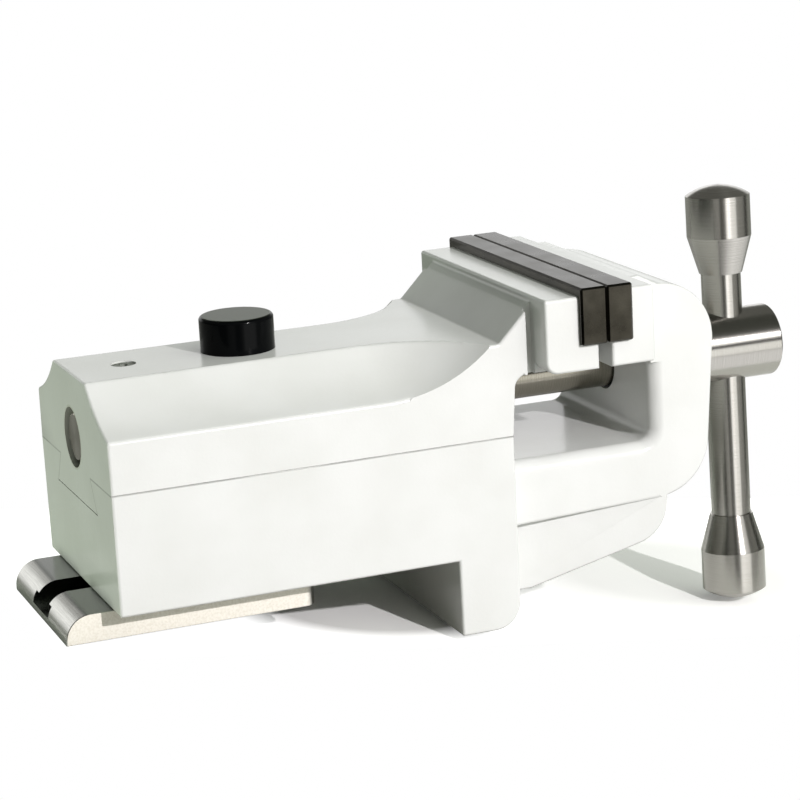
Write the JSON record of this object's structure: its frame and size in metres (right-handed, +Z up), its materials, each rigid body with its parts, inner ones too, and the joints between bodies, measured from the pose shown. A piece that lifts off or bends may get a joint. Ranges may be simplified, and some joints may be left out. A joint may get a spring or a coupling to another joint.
{
  "type": "bench vise",
  "caption": "Bench vise with a hook for the bench edge, a slotted foot plate, a dovetail slide, steel jaw plates, a spindle with cross handle and a push button.",
  "frame": {"origin": "centre of the foot plate's underside, on the bench top", "axes": "+X from the tail to the spindle head, along the spindle; +Z up; Y = 0 is the mid-plane"},
  "size_m": [0.2405, 0.1, 0.133],
  "materials": {
    "white_enamel": "thick white gloss enamel over a cast skin",
    "ground_steel": "ground top, sawn and blasted edges",
    "jaw_steel": "hardened, ground and blackened",
    "turned_steel": "fine turned and polished",
    "black_cap": "gloss sides, satin top",
    "dark_screw": "black oxide",
    "bronze": "machined bearing bronze",
    "bright_steel": "drawn or machined bright",
    "nylon": "machined natural nylon"
  },
  "bodies": {
    "base": {"base_casting": "white_enamel", "foot_plate": "ground_steel", "foot_screws": "dark_screw", "fixed_jaw_plate": "jaw_steel", "fixed_jaw_screws": "dark_screw", "spindle_bush": "bronze", "thrust_washer": "bronze"},
    "slide": {"slide_casting": "white_enamel", "moving_jaw_plate": "jaw_steel", "moving_jaw_screws": "dark_screw", "oil_screw": "dark_screw", "spring_plug": "bright_steel"},
    "button": {"release_button": "black_cap", "release_plunger": "bronze", "release_spring": "bright_steel"},
    "spindle": {"spindle": "turned_steel", "spindle_head": "turned_steel", "head_pin": "bright_steel", "spindle_clip": "dark_screw", "friction_plug": "nylon", "friction_spring": "bright_steel", "friction_screw": "dark_screw"},
    "handle": {"handle_bar": "turned_steel", "upper_knob": "turned_steel", "lower_knob": "turned_steel"}
  },
  "joints": [
    {"name": "spindle_turn", "type": "hinge", "parent": "base", "child": "spindle", "pos_m": [0.1454, 0, 0.0523], "axis": [1, 0, 0], "range_deg": [0, 5400]},
    {"name": "slide_travel", "type": "slide", "parent": "base", "child": "slide", "axis": [-1, 0, 0], "range_m": [0, 0.045]},
    {"name": "handle_slide", "type": "slide", "parent": "spindle", "child": "handle", "axis": [0, 0.0419, 0.9991], "range_m": [-0.0115, 0.0428]},
    {"name": "release_press", "type": "slide", "parent": "slide", "child": "button", "axis": [0, 0, -1], "range_m": [0, 0.0022], "stiffness_N_per_m": 1500, "springref_m": -0.003, "deforming": ["release_spring"]}
  ],
  "couplings": [
    {"joint": "slide_travel", "follows": "spindle_turn", "m_per_rad": 0.00047746}
  ]
}
